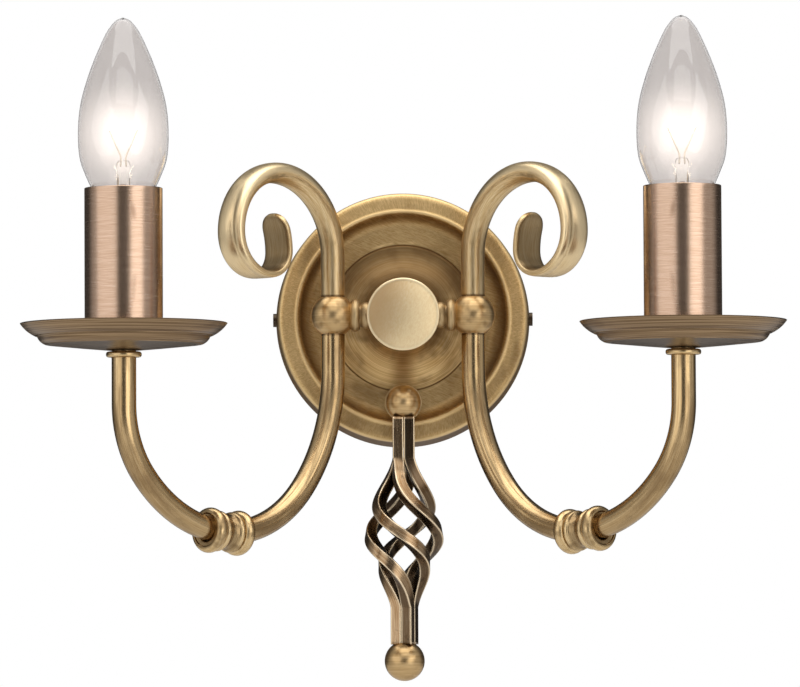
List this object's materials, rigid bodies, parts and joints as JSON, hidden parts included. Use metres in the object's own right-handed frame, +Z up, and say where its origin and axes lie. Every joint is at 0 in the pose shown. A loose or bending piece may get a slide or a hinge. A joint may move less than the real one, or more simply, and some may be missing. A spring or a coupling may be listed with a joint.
{
  "type": "double arm wall sconce",
  "caption": "Brass wall sconce: scrolled arms from ball joints on a round plate carry candle lamps over drip pans, with a twisted basket drop below.",
  "frame": {"origin": "middle of the round wall plate, on the wall plane, where the bracket's screws are centred", "axes": "+Z up, +X to the viewer's right, +Y into the wall; the sconce stands out towards -Y"},
  "size_m": [0.2956, 0.1618, 0.2572],
  "materials": {
    "antique_brass": "antique brass, brushed and lacquered",
    "dark_brass": "antique brass with a dark patina, brushed edges",
    "sleeve_bronze": "rosy bronze, finely brushed",
    "zinc_steel": "zinc plated",
    "screw_brass": "plated",
    "white_plastic": "moulded",
    "holder_plastic": "moulded, matt",
    "contact_brass": "bare stamped brass",
    "lamp_glass": "clear",
    "lamp_cap": "rolled thread, nickel plated",
    "black_glass": "fused, glossy",
    "filament": "fine drawn wire, glowing when lit",
    "flex_sheath": "smooth sheath"
  },
  "bodies": {
    "sconce": {"backplate": "antique_brass", "hub_cap": "antique_brass", "drop_neck": "antique_brass", "drop_ball": "antique_brass", "finial_ball": "antique_brass", "basket_bar_1": "dark_brass", "basket_bar_2": "dark_brass", "basket_bar_3": "dark_brass", "basket_bar_4": "dark_brass", "wall_bracket": "zinc_steel", "neck_nuts": "zinc_steel", "drop_studs": "zinc_steel", "side_screws": "screw_brass", "earth_screw": "screw_brass", "terminal_screws": "screw_brass", "terminal_block": "white_plastic", "left_neck": "antique_brass", "left_arm_ball": "antique_brass", "left_scroll": "antique_brass", "left_inner_tube": "antique_brass", "left_knuckle": "antique_brass", "left_outer_tube": "antique_brass", "left_check_ring": "antique_brass", "left_drip_pan": "antique_brass", "left_candle_sleeve": "sleeve_bronze", "left_candle_nipple": "zinc_steel", "left_pan_nut": "zinc_steel", "left_lampholder": "holder_plastic", "left_holder_shell": "contact_brass", "left_holder_contact": "contact_brass", "left_arm_flex": "flex_sheath", "right_neck": "antique_brass", "right_arm_ball": "antique_brass", "right_scroll": "antique_brass", "right_inner_tube": "antique_brass", "right_knuckle": "antique_brass", "right_outer_tube": "antique_brass", "right_check_ring": "antique_brass", "right_drip_pan": "antique_brass", "right_candle_sleeve": "sleeve_bronze", "right_candle_nipple": "zinc_steel", "right_pan_nut": "zinc_steel", "right_lampholder": "holder_plastic", "right_holder_shell": "contact_brass", "right_holder_contact": "contact_brass", "right_arm_flex": "flex_sheath"},
    "left_bulb_screw": {"left_bulb_contact": "contact_brass"},
    "left_bulb": {"left_bulb_glass": "lamp_glass", "left_bulb_cap": "lamp_cap", "left_bulb_insulator": "black_glass", "left_bulb_stem": "lamp_glass", "left_bulb_filament": "filament"},
    "right_bulb_screw": {"right_bulb_contact": "contact_brass"},
    "right_bulb": {"right_bulb_glass": "lamp_glass", "right_bulb_cap": "lamp_cap", "right_bulb_insulator": "black_glass", "right_bulb_stem": "lamp_glass", "right_bulb_filament": "filament"}
  },
  "joints": [
    {"name": "left_bulb_lift", "type": "slide", "parent": "sconce", "child": "left_bulb_screw", "axis": [0, 0, 1], "range_m": [0, 0.0115]},
    {"name": "left_bulb_turn", "type": "hinge", "parent": "left_bulb_screw", "child": "left_bulb", "pos_m": [-0.10784, -0.12184, 0.02], "axis": [0, 0, 1], "range_deg": [0, 1440]},
    {"name": "right_bulb_lift", "type": "slide", "parent": "sconce", "child": "right_bulb_screw", "axis": [0, 0, 1], "range_m": [0, 0.0115]},
    {"name": "right_bulb_turn", "type": "hinge", "parent": "right_bulb_screw", "child": "right_bulb", "pos_m": [0.10784, -0.12184, 0.02], "axis": [0, 0, 1], "range_deg": [0, 1440]}
  ],
  "couplings": [
    {"joint": "left_bulb_lift", "follows": "left_bulb_turn", "m_per_rad": 0.00044882},
    {"joint": "right_bulb_lift", "follows": "right_bulb_turn", "m_per_rad": 0.00044882}
  ]
}
